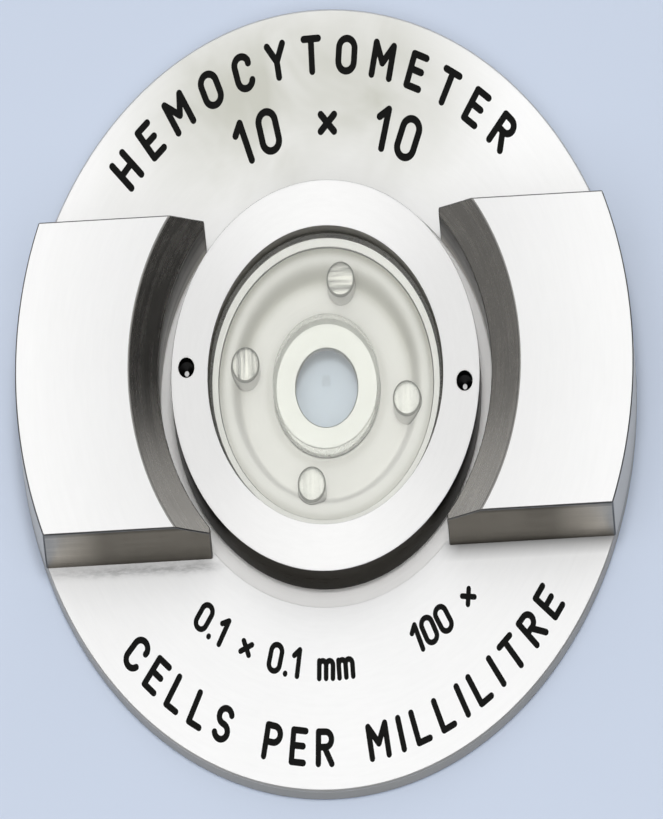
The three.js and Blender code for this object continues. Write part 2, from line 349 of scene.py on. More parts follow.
def steel(
    name,
    tone=0.8,
    rough=0.28,
    lay="satin",
    streak=0.5,
    bump=0.25,
    mottle=0.05,
    warm=0.008,
    metal=1.0,
    far=0.0,
    bow=0.0,
    rings=(),
    slope=None,
    edge=None,
    foot=0.0,
    lines=None,
    local=0.0,
    bands=0.0,
    soft=0.0,
):
    """Stainless steel. lay is the direction of its tool marks: satin (none), turned (round Z), milled_x (along X),
    milled_arc (round Z, on a slope). metal below one is a blasted surface that scatters part of the light. far is a
    patch of painted shade at the back of the plate, bow two quarters of a turned face darkened as a painted reflection,
    rings are bands of painted shade (radius, half width, depth, on the back only) in mm, slope is painted shade that
    darkens towards r0, given as (r0, r1, depth at r0), and edge the strength of the metal's sheen at a grazing view.
    foot is painted shade in front of the handle blocks, lines painted shade along the low and high edges of their faces
    as (low z, high z, depth) in mm, local a painted straight sheen across a small part's own face and bands the cutter
    marks on a wall, with painted light towards its foot. soft evens out how a blasted surface takes the light from one
    side."""
    t = Tree(name)
    o, x, y, z = t.coords()
    r = t.math("SQRT", t.math("ADD", t.math("MULTIPLY", x, x), t.math("MULTIPLY", y, y)))
    # a turned mark runs right round, so the direction from the axis stands in for the angle: no seam
    ux, uy = t.math("DIVIDE", x, t.math("MAXIMUM", r, 1e-6)), t.math("DIVIDE", y, t.math("MAXIMUM", r, 1e-6))

    def round_axis(k, turn, kz):
        return t.vec(t.math("MULTIPLY", r, k), t.math("MULTIPLY", ux, turn), t.math("MULTIPLY", uy, turn)), t.math("MULTIPLY", z, kz)

    cloud = t.noise(o, 70.0, 4.0, 0.55, 0.3)
    blot = t.noise(o, 420.0, 3.0, 0.6, 0.4)
    grain = t.noise(o, 5200.0, 2.0, 0.6)
    if lay == "satin":
        place, w = round_axis(2600.0, 9.0, 2600.0)
        marks = t.noise(place, 1.0, 2.0, 0.6, w=w)
    elif lay in ("turned", "milled_arc"):
        k = 5200.0 if lay == "turned" else 3200.0
        place, w = round_axis(k, 2.4, k)
        marks = t.noise(place, 1.0, 4.0, 0.65, w=w)
    else:
        marks = t.noise(t.vec(t.math("MULTIPLY", x, 110.0), t.math("MULTIPLY", y, 2600.0), t.math("MULTIPLY", z, 5200.0)), 1.0, 4.0, 0.65)
    if lay == "milled_x":
        chatter = t.noise(t.vec(t.math("MULTIPLY", x, 2100.0), t.math("MULTIPLY", y, 300.0), t.math("MULTIPLY", z, 90.0)), 1.0, 2.0, 0.5)
        marks = t.math("ADD", t.math("MULTIPLY", marks, 0.82), t.math("MULTIPLY", chatter, 0.18))
    # slow clouds, blots and the lay of the marks, as a factor near one
    f = t.math("ADD", t.math("MULTIPLY", t.math("SUBTRACT", cloud, 0.5), 2.2 * mottle), t.math("MULTIPLY", t.math("SUBTRACT", blot, 0.5), 1.1 * mottle))
    f = t.math("ADD", f, t.math("MULTIPLY", t.math("SUBTRACT", marks, 0.5), 0.4 * streak))
    f = t.math("ADD", f, 1.0)
    if bow or rings or slope:
        # these follow the light and not the turning part, so they are placed in the world
        g = t.nt.nodes.new("ShaderNodeNewGeometry")
        gs = t.nt.nodes.new("ShaderNodeSeparateXYZ")
        t.nt.links.new(g.outputs["Position"], gs.inputs[0])
        gx, gy = gs.outputs[0], gs.outputs[1]
        xx, yy = t.math("MULTIPLY", gx, gx), t.math("MULTIPLY", gy, gy)
        rr = t.math("ADD", xx, yy)
        if bow:
            # painted reflection: the quarters to the left and right of a turned face are darker
            k = t.math("DIVIDE", xx, t.math("MAXIMUM", rr, 1e-9))
            f = t.math("MULTIPLY", f, t.math("SUBTRACT", 1.0, t.math("MULTIPLY", t.math("SMOOTH_MIN", k, 0.75, 0.3), bow)))
        rm = t.math("MULTIPLY", t.math("SQRT", rr), 1000.0)
        lost = None
        # painted shade: dark bands round the axis at given radii, some only at the back
        for r0, half, depth, back in rings:
            d = t.math("DIVIDE", t.math("SUBTRACT", rm, r0), half)
            d = t.math("MULTIPLY", t.math("POWER", 2.718, t.math("MULTIPLY", t.math("MULTIPLY", d, d), -1.0)), depth)
            if back:
                d = t.math("MULTIPLY", d, t.ramp(gy, -0.006, 0.004, 0.0, 1.0))
            f = t.math("MULTIPLY", f, t.math("SUBTRACT", 1.0, d))
            lost = d if lost is None else t.math("MAXIMUM", lost, d)
        if slope:
            # painted shade: darker towards r0, lighter towards r1
            f = t.math("MULTIPLY", f, t.ramp(rm, slope[0], slope[1], 1.0 - slope[2], 1.0))
    if foot:
        # painted shade: for the left block a streaky dark line a little in front of it, for the right block a soft
        # shade against its face
        ym, xm = t.math("MULTIPLY", y, 1000.0), t.math("MULTIPLY", x, 1000.0)
        wob = t.noise(t.vec(t.math("MULTIPLY", x, 300.0), 0.0, 0.0), 1.0, 3.0, 0.6)
        fine = t.noise(t.vec(t.math("MULTIPLY", x, 900.0), t.math("MULTIPLY", y, 3600.0), 0.0), 1.0, 3.0, 0.65)
        d = t.math("DIVIDE", t.math("SUBTRACT", ym, t.math("ADD", -16.05, t.math("MULTIPLY", wob, 0.75))), 0.5)
        d = t.math("POWER", 2.718, t.math("MULTIPLY", t.math("MULTIPLY", d, d), -1.0))
        d = t.math("MULTIPLY", d, t.ramp(fine, 0.32, 0.62, 0.45, 1.0))
        d = t.math("MULTIPLY", d, t.ramp(xm, -33.0, -26.0, 0.45, 1.0))
        d = t.math("MULTIPLY", d, t.ramp(xm, -15.5, -12.6, 1.0, 0.0))
        e = t.math("MULTIPLY", t.ramp(ym, -16.6, -15.0, 0.0, 1.0), t.ramp(xm, 12.6, 15.5, 0.0, 1.15))
        d = t.math("MULTIPLY", t.math("ADD", d, e), foot)
        d = t.math("MULTIPLY", d, t.ramp(ym, -14.9, -14.5, 1.0, 0.0))
        f = t.math("MULTIPLY", f, t.math("SUBTRACT", 1.0, d))
    if lines:
        # painted shade: darker along the low and high edges of the faces
        zm = t.math("MULTIPLY", z, 1000.0)
        f = t.math("MULTIPLY", f, t.ramp(zm, lines[0], lines[0] + 1.1, 1.0 - lines[2], 1.0))
        f = t.math("MULTIPLY", f, t.ramp(zm, lines[1] - 0.95, lines[1] - 0.55, 1.0, 1.0 - 0.75 * lines[2]))
        if slope:
            # painted light: the lighter outer end stops short of the foot, where painted shade darkens it again
            ends = t.math("MULTIPLY", t.ramp(rm, slope[0], slope[1], 0.0, 1.0), t.ramp(zm, 3.4, 5.2, 0.34, 0.0))
            f = t.math("MULTIPLY", f, t.math("SUBTRACT", 1.0, ends))
    if bands:
        zm = t.math("MULTIPLY", z, 1000.0)
        cut = t.noise(t.vec(t.math("MULTIPLY", ux, 0.9), t.math("MULTIPLY", uy, 0.9), t.math("MULTIPLY", z, 900.0)), 1.0, 2.0, 0.5)
        f = t.math("MULTIPLY", f, t.ramp(cut, 0.38, 0.62, 1.0 - bands, 1.0 + bands))
        # painted light: the wall is lighter towards its foot
        f = t.math("MULTIPLY", f, t.ramp(zm, 2.2, 3.7, 3.6, 1.0))
    if local:
        # painted reflection: a straight sheen across the part's own face
        sheen = t.noise(t.vec(t.math("ADD", t.math("MULTIPLY", x, 1300.0), 3.4), t.math("MULTIPLY", y, 120.0), 0.0), 1.0, 2.0, 0.5)
        f = t.math("MULTIPLY", f, t.ramp(sheen, 0.38, 0.58, 1.0 - local, 1.08))
    sc = t.nt.nodes.new("ShaderNodeVectorMath")
    sc.operation = "SCALE"
    sc.inputs[0].default_value = grey(tone, warm)[:3]
    t.set(sc.inputs["Scale"], f)
    mn = t.nt.nodes.new("ShaderNodeVectorMath")
    mn.operation = "MINIMUM"
    t.nt.links.new(sc.outputs[0], mn.inputs[0])
    mn.inputs[1].default_value = (0.97, 0.97, 0.965)
    colour = mn.outputs[0]
    if rings:
        # the painted shade of the rings also turns their colour towards tan
        colour = t.mix(t.math("MULTIPLY", lost, 0.35), colour, (tone * 0.60, tone * 0.57, tone * 0.24, 1.0))
    if far:
        # painted shade: a darker patch at the back of the plate
        ym, xm = t.math("MULTIPLY", y, 1000.0), t.math("MULTIPLY", x, 1000.0)
        w = t.ramp(ym, 13.0, 28.0, 0.0, 1.0)
        w = t.math("MULTIPLY", w, t.ramp(t.math("ABSOLUTE", t.math("ADD", xm, 4.0)), 12.5, 27.0, 1.0, 0.05))
        w = t.math("MULTIPLY", w, t.ramp(t.math("MULTIPLY", r, 1000.0), 32.5, 37.2, 1.0, 0.65))
        big = t.noise(o, 95.0, 3.0, 0.55, 0.6)
        w = t.math("MULTIPLY", w, t.ramp(big, 0.30, 0.62, 0.55, 1.0))
        colour = t.mix(w, colour, (tone * (1 - far), tone * (1 - far), tone * (1 - far) * 0.89, 1.0))
    # roughness: marks and handling
    rg = t.math("ADD", t.math("MULTIPLY", t.math("SUBTRACT", marks, 0.5), 0.22 * streak), rough)
    rg = t.math("ADD", rg, t.math("MULTIPLY", t.math("SUBTRACT", blot, 0.5), 0.10), clamp=True)
    height = t.math("ADD", t.math("MULTIPLY", marks, streak), t.math("MULTIPLY", grain, 0.35))
    bm = t.nt.nodes.new("ShaderNodeBump")
    bm.inputs["Strength"].default_value = bump
    bm.inputs["Distance"].default_value = 0.00001
    t.set(bm.inputs["Height"], height)
    if soft:
        gn = t.nt.nodes.new("ShaderNodeNewGeometry")
        vs = t.nt.nodes.new("ShaderNodeVectorMath")
        vs.operation = "SCALE"
        t.nt.links.new(gn.outputs["Normal"], vs.inputs[0])
        vs.inputs["Scale"].default_value = 1.0 - soft
        va = t.nt.nodes.new("ShaderNodeVectorMath")
        va.operation = "ADD"
        t.nt.links.new(vs.outputs[0], va.inputs[0])
        va.inputs[1].default_value = (0.0, 0.0, soft)
        vn = t.nt.nodes.new("ShaderNodeVectorMath")
        vn.operation = "NORMALIZE"
        t.nt.links.new(va.outputs[0], vn.inputs[0])
        t.set(bm.inputs["Normal"], vn.outputs[0])
    p = t.node("ShaderNodeBsdfPrincipled")
    t.set(p.inputs["Base Color"], colour)
    p.inputs["Metallic"].default_value = metal
    if foot:
        t.set(p.inputs["Metallic"], t.ramp(y, -0.018, -0.010, 0.10, metal))
    t.set(p.inputs["Roughness"], rg)
    if edge is not None:
        p.inputs["Specular Tint"].default_value = (edge, edge, edge, 1.0)
        p.inputs["Specular IOR Level"].default_value = 0.5 * edge
    if lay in ("turned", "milled_arc"):
        p.inputs["Anisotropic"].default_value = 0.35
        tg = t.nt.nodes.new("ShaderNodeTangent")
        tg.direction_type, tg.axis = "RADIAL", "Z"
        t.set(p.inputs["Tangent"], tg.outputs[0])
    t.set(p.inputs["Normal"], bm.outputs[0])
    t.set(t.out.inputs["Surface"], p.outputs[0])
    return t.mat


def pane(name, tint, ior=1.5, haze=0.0):
    """Thin flat glass: what is behind shows through, tinted, under a Fresnel reflection."""
    t = Tree(name)
    o, x, y, z = t.coords()
    dust = t.noise(o, 1800.0, 2.0, 0.5)
    smear = t.noise(o, 150.0, 3.0, 0.6, 0.8)
    # both faces take the same reflection, or the lower one turns into a mirror at low views
    bk = t.nt.nodes.new("ShaderNodeNewGeometry")
    fr = t.node("ShaderNodeFresnel")
    t.set(fr.inputs["IOR"], t.ramp(bk.outputs["Backfacing"], 0.0, 1.0, ior, 1.0 / ior))
    tr = t.node("ShaderNodeBsdfTransparent")
    dens = t.ramp(smear, 0.35, 0.75, 1.0, 0.985)
    c = t.nt.nodes.new("ShaderNodeVectorMath")
    c.operation = "SCALE"
    c.inputs[0].default_value = tint
    t.set(c.inputs["Scale"], dens)
    t.set(tr.inputs["Color"], c.outputs[0])
    gl = t.node("ShaderNodeBsdfGlossy")
    t.set(gl.inputs["Roughness"], t.ramp(dust, 0.55, 0.8, 0.015, 0.05))
    mx = t.node("ShaderNodeMixShader")
    t.set(mx.inputs[0], fr.outputs[0])
    t.nt.links.new(tr.outputs[0], mx.inputs[1])
    t.nt.links.new(gl.outputs[0], mx.inputs[2])
    t.nt.links.new(mx.outputs[0], t.out.inputs["Surface"])
    return t.mat


def frosted(name, colour, clear):
    """Ground glass: part of the light goes straight through and the rest scatters."""
    t = Tree(name)
    o, x, y, z = t.coords()
    n1 = t.noise(o, 2600.0, 3.0, 0.6)
    df = t.node("ShaderNodeBsdfDiffuse")
    t.set(df.inputs["Color"], t.mix(n1, tuple(c * 0.97 for c in colour) + (1.0,), tuple(min(c * 1.02, 1.0) for c in colour) + (1.0,)))
    tr = t.node("ShaderNodeBsdfTransparent")
    tr.inputs["Color"].default_value = (0.96, 0.96, 0.95, 1.0)
    mx = t.node("ShaderNodeMixShader")
    t.set(mx.inputs[0], t.ramp(n1, 0.3, 0.7, clear - 0.02, clear + 0.02))
    t.nt.links.new(df.outputs[0], mx.inputs[1])
    t.nt.links.new(tr.outputs[0], mx.inputs[2])
    t.nt.links.new(mx.outputs[0], t.out.inputs["Surface"])
    return t.mat


def quartz(name, colour=(0.975, 0.98, 0.965, 1.0), rough=0.01, ior=1.46):
    """Solid clear glass that lets lamps through to what is under it."""
    t = Tree(name)
    o, x, y, z = t.coords()
    seed = t.noise(o, 2400.0, 2.0, 0.5)
    p = t.node("ShaderNodeBsdfPrincipled")
    p.inputs["Base Color"].default_value = colour
    p.inputs["Transmission Weight"].default_value = 1.0
    p.inputs["IOR"].default_value = ior
    t.set(p.inputs["Roughness"], t.ramp(seed, 0.5, 0.8, rough, rough + 0.03))
    lp = t.nt.nodes.new("ShaderNodeLightPath")
    tr = t.node("ShaderNodeBsdfTransparent")
    tr.inputs["Color"].default_value = (0.95, 0.95, 0.94, 1.0)
    mx = t.node("ShaderNodeMixShader")
    t.nt.links.new(lp.outputs["Is Shadow Ray"], mx.inputs[0])
    t.nt.links.new(p.outputs[0], mx.inputs[1])
    t.nt.links.new(tr.outputs[0], mx.inputs[2])
    t.nt.links.new(mx.outputs[0], t.out.inputs["Surface"])
    return t.mat


def matte(name, colour, rough=0.75, vary=0.25, scale=900.0, bump=0.3, metallic=0.0, size=0.00002, spec=0.5):
    t = Tree(name)
    o, x, y, z = t.coords()
    n1 = t.noise(o, scale, 4.0, 0.6)
    n2 = t.noise(o, scale * 6, 2.0, 0.5)
    dark = tuple(c * (1 - vary) for c in colour[:3]) + (1.0,)
    lite = tuple(min(c * (1 + vary) + 0.002, 1.0) for c in colour[:3]) + (1.0,)
    p = t.node("ShaderNodeBsdfPrincipled")
    t.set(p.inputs["Base Color"], t.mix(n1, dark, lite))
    p.inputs["Metallic"].default_value = metallic
    p.inputs["Specular IOR Level"].default_value = spec
    t.set(p.inputs["Roughness"], t.ramp(n2, 0.2, 0.8, rough - 0.08, rough + 0.08))
    bm = t.nt.nodes.new("ShaderNodeBump")
    bm.inputs["Strength"].default_value = bump
    bm.inputs["Distance"].default_value = size
    t.set(bm.inputs["Height"], t.math("ADD", t.math("MULTIPLY", n1, 0.6), t.math("MULTIPLY", n2, 0.4)))
    t.set(p.inputs["Normal"], bm.outputs[0])
    t.set(t.out.inputs["Surface"], p.outputs[0])
    return t.mat


# the plate's top carries painted shade: far is a darker patch at the back, foot a line in front of the handle blocks
M_TOP = steel("steel_satin", 0.885, 0.45, "satin", 0.16, 0.12, 0.025, 0.003, 0.20, far=0.40, foot=0.50)
# the handle tops carry painted shade, a little darker towards their inner ends
M_HANDLE = steel("steel_handle_top", 0.85, 0.45, "satin", 0.14, 0.12, 0.02, 0.004, 0.20, slope=(24.5, 36.0, 0.10))
M_EDGE = steel("steel_edge", 0.60, 0.32, "turned", 0.4, 0.15, 0.05, metal=0.6)
M_RIM = steel("steel_rim", 0.34, 0.34, "turned", 0.8, 0.30, 0.08, 0.10, 0.8)
M_RECESS = steel("steel_recess", 0.94, 0.42, "turned", 0.25, 0.15, 0.03, 0.01, 0.20)
M_BORE = steel("steel_bore", 0.40, 0.35, "turned", 0.8, 0.35, 0.10, edge=0.4)
# the spanner holes and their drill cones are given near-black tones: painted shade
M_HOLE = steel("steel_spanner_hole", 0.07, 0.35, "turned", 0.8, 0.35, 0.10, edge=0.2)
M_CONE = steel("steel_drill_cone", 0.05, 0.22, "turned", 0.8, 0.35, 0.10, edge=0.4)
M_UNDER = steel("steel_underside", 0.70, 0.40, "turned", 0.6, 0.30, 0.06, 0.008, 0.5)
# the milled faces carry painted shade towards their inner ends and along their low and high edges
M_FACE = steel("steel_milled", 0.66, 0.34, "milled_x", 1.8, 0.7, 0.16, 0.07, slope=(31.0, 36.3, 0.60), lines=(2.3, 11.3, 0.42), edge=0.3)
M_SLOPE = steel("steel_slope", 0.55, 0.26, "milled_arc", 1.1, 0.30, 0.16, 0.05)
# the recess wall's dark tone is painted shade, with painted light towards its foot
M_WALL = steel("steel_wall", 0.125, 0.32, "turned", 0.6, 0.35, 0.15, 0.06, bands=0.5)
# the broken edges' dark tone is painted shade
M_BREAK = steel("steel_broken_edge", 0.26, 0.32, "satin", 0.4, 0.2, 0.08, 0.03, edge=0.3)
M_OUTER = steel("steel_outer", 0.54, 0.34, "turned", 0.8, 0.30, 0.08, 0.09, 0.8)
# the cover ring's bore and outer wall have dark tones of painted shade
M_COVERBORE = steel("steel_cover_bore", 0.26, 0.34, "turned", 0.6, 0.25, 0.15, 0.04, 0.5, edge=0.35)
M_RINGWALL = steel("steel_ring_wall", 0.075, 0.30, "turned", 0.9, 0.25, 0.15, 0.05, edge=0.35)
# the ring top's darker side quarters are a painted reflection
M_RINGTOP = steel("steel_ring_top", 0.83, 0.42, "satin", 0.16, 0.12, 0.02, 0.006, 0.22, bow=0.24)
M_LIP = steel("steel_lip", 0.95, 0.45, "turned", 0.2, 0.15, 0.02, 0.012, 0.10)
# the moat's darker bands are painted shade
M_MOAT = steel("steel_moat", 0.78, 0.45, "turned", 0.2, 0.03, 0.035, 0.016, 0.12, rings=((10.75, 0.85, 0.35, True), (12.95, 0.5, 0.20, False), (12.9, 0.6, 0.38, True), (7.0, 0.5, 0.10, False)), soft=0.78)
M_SEAT = steel("steel_seat", 0.755, 0.40, "turned", 0.15, 0.12, 0.02, 0.006, 0.15)
# a painted reflection crosses the pins' faces, more strongly on two of them
M_PIN = steel("steel_pin", 0.70, 0.40, "turned", 0.2, 0.15, 0.02, 0.012, 0.15, local=0.12)
M_PIN_PAINTED_SHEEN = steel("steel_pin_painted_sheen", 0.70, 0.40, "turned", 0.2, 0.15, 0.02, 0.02, 0.15, local=0.72)
M_PINSIDE = steel("steel_pin_side", 0.74, 0.38, "turned", 0.4, 0.2, 0.05, 0.012, 0.25)
M_SCREW = steel("steel_screw", 0.55, 0.30, "turned", 0.8, 0.35, 0.08)
M_DARK = matte("blackened_metal", (0.045, 0.043, 0.040), 0.42, 0.3, 1400.0, 0.35, 0.6)
M_SEAL = matte("seal_black", (0.085, 0.082, 0.072), 0.62, 0.3, 2600.0, 0.35)
M_PAINT = matte("engraving_black", (0.006, 0.006, 0.0055), 0.8, 0.35, 3200.0, 0.4, spec=0.12)
M_GROUND = matte("ground_edge", (0.58, 0.58, 0.555), 0.6, 0.12, 2200.0, 0.2)
# the tip edges' dark grey is painted shade, drawn as an outline
M_TIPEDGE = matte("ground_tip_edge_painted_shade", (0.27, 0.27, 0.25), 0.6, 0.12, 2200.0, 0.2)
M_FROST = frosted("frosted_wall", (0.95, 0.95, 0.93), 0.74)
M_PANE = pane("cover_glass_clear", (0.972, 0.976, 0.962))
M_QUARTZ = quartz("quartz_clear")
M_TIP = quartz("quartz_tip", (0.985, 0.985, 0.975, 1.0), 0.05)
M_GRID = matte("grid_lines", (0.06, 0.06, 0.06), 0.5, 0.2, 4000.0, 0.1, 0.3)

# ------------------------------------------------------------------ engraved marks: generic words and numbers, in round-ended strokes


def arc(cx, cy, rx, ry, a0, a1, n=14):
    return [
        (cx + rx * math.cos(math.radians(a0 + (a1 - a0) * i / n)), cy + ry * math.sin(math.radians(a0 + (a1 - a0) * i / n)))
        for i in range(n + 1)
    ]


# each glyph: (width, [stroke, ...]) on a unit cap height
GLYPHS = {
    " ": (0.42, []),
    "H": (0.56, [[(0, 0), (0, 1)], [(0.56, 0), (0.56, 1)], [(0, 0.52), (0.56, 0.52)]]),
    "E": (0.48, [[(0.48, 0), (0, 0), (0, 1), (0.48, 1)], [(0, 0.52), (0.42, 0.52)]]),
    "M": (0.68, [[(0, 0), (0, 1), (0.34, 0.42), (0.68, 1), (0.68, 0)]]),
    "O": (0.60, [arc(0.30, 0.70, 0.30, 0.30, 0, 180) + arc(0.30, 0.30, 0.30, 0.30, 180, 360) + [(0.60, 0.70)]]),
    "0": (0.52, [arc(0.26, 0.74, 0.26, 0.26, 0, 180) + arc(0.26, 0.26, 0.26, 0.26, 180, 360) + [(0.52, 0.74)]]),
    "C": (0.54, [[(0.54, 0.73)] + arc(0.28, 0.72, 0.28, 0.28, 20, 180) + arc(0.28, 0.28, 0.28, 0.28, 180, 340)]),
    "Y": (0.60, [[(0, 1), (0.30, 0.48), (0.60, 1)], [(0.30, 0.48), (0.30, 0)]]),
    "T": (0.56, [[(0, 1), (0.56, 1)], [(0.28, 1), (0.28, 0)]]),
    "R": (0.54, [[(0, 0), (0, 1), (0.28, 1)] + arc(0.28, 0.76, 0.24, 0.24, 80, -90) + [(0, 0.52)], [(0.24, 0.52), (0.54, 0)]]),
    "P": (0.52, [[(0, 0), (0, 1), (0.27, 1)] + arc(0.27, 0.74, 0.26, 0.26, 80, -90) + [(0, 0.48)]]),
    "L": (0.46, [[(0, 1), (0, 0), (0.46, 0)]]),
    "S": (0.52, [arc(0.26, 0.75, 0.25, 0.25, 25, 270) + arc(0.26, 0.25, 0.26, 0.25, 90, -155)]),
    "I": (0.04, [[(0.02, 0), (0.02, 1)]]),
    "1": (0.26, [[(0, 0.76), (0.24, 1), (0.24, 0)]]),
    ".": (0.04, [[(0.02, 0.0), (0.02, 0.02)]]),
    "x": (0.42, [[(0, 0.22), (0.42, 0.64)], [(0, 0.64), (0.42, 0.22)]]),
    "m": (0.66, [[(0, 0), (0, 0.66)], [(0, 0.48)] + arc(0.165, 0.495, 0.165, 0.165, 150, 0, 8) + [(0.33, 0)], [(0.33, 0.48)] + arc(0.495, 0.495, 0.165, 0.165, 150, 0, 8) + [(0.66, 0)]]),
    "u": (0.40, [[(0, -0.30), (0, 0.66)], [(0, 0.2)] + arc(0.20, 0.20, 0.20, 0.20, 180, 360, 8) + [(0.40, 0.66)], [(0.40, 0.12), (0.46, 0.0)]]),
}


def lay_text(text, radius_base, height, first, last, inward, tracking=None):
    """Strokes of text along an arc of the base, as lists of (x, y) in mm. first and last are the angles, in degrees,
    of its ends. inward text has its feet towards the rim, as on the near side."""
    widths = [GLYPHS[c][0] * height for c in text]
    span_ = math.radians(abs(first - last)) * radius_base
    gap = (span_ - sum(widths)) / (len(text) - 1)
    s, strokes = 0.0, []
    sign = -1 if first > last else 1
    for c, w in zip(text, widths):
        for line in GLYPHS[c][1]:
            pts = []
            # long straight strokes follow the letter's own flat frame, as an engraver's template does
            mid = s + w / 2
            a = math.radians(first) + sign * mid / radius_base
            up = Vector((math.cos(a), math.sin(a)))
            along = Vector((-math.sin(a), math.cos(a))) * sign
            if inward:
                up = -up
            base = Vector((math.cos(a), math.sin(a))) * radius_base
            for gx, gy in line:
                pts.append(base + along * (gx * height - w / 2) + up * (gy * height))
            strokes.append(pts)
        s += w + gap
    return strokes


def stroke_outline(pts, half, cap=7):
    """The outline of a round-ended stroke, as overlapping capsules, one per segment."""
    out = []
    for a, b in zip(pts, pts[1:]):
        d = b - a
        if d.length < 1e-6:
            continue
        t0 = math.atan2(d.y, d.x)
        loop = []
        for k in range(cap + 1):
            t = t0 + math.pi / 2 + math.pi * k / cap
            loop.append((a.x + half * math.cos(t), a.y + half * math.sin(t)))
        for k in range(cap + 1):
            t = t0 - math.pi / 2 + math.pi * k / cap
            loop.append((b.x + half * math.cos(t), b.y + half * math.sin(t)))
        out.append((loop, a.copy(), b.copy()))
    return out


# text, radius of its feet, cap height, first and last angle, feet towards the rim, half the stroke's width
ROWS = (
    ("HEMOCYTOMETER", 31.4, 3.2, 138.0, 46.0, False, 0.37),
    ("10 x 10", 24.6, 3.9, 112.5, 64.0, False, 0.38),
    ("0.1 x 0.1 mm    100 x", 26.9, 2.5, 231.5, 310.5, True, 0.28),
    ("CELLS PER MILLILITRE", 34.9, 3.0, 223.5, 322.5, True, 0.33),
)
CAPSULES = [
    c for text, r, cap, a0, a1, inward, half in ROWS for line in lay_text(text, r, cap, a0, a1, inward) for c in stroke_outline(line, half)
]


def near_stroke():
    """A test of whether a point lies in any stroke's outline."""
    cells = {}
    for loop, a, b in CAPSULES:
        for ix in range(int(min(a.x, b.x) // 1) - 1, int(max(a.x, b.x) // 1) + 2):
            for iy in range(int(min(a.y, b.y) // 1) - 1, int(max(a.y, b.y) // 1) + 2):
                cells.setdefault((ix, iy), []).append(loop)

    def test(x, y):
        for loop in cells.get((int(x // 1), int(y // 1)), ()):
            px, py = loop[-1]
            for qx, qy in loop:
                if (qx - px) * (y - py) - (qy - py) * (x - px) < 0:
                    break
                px, py = qx, qy
            else:
                return True
        return False

    return test


in_stroke = near_stroke()

# ------------------------------------------------------------------ base plate
GROOVE, FILL = 0.14, 0.05
EDGE = 0.2


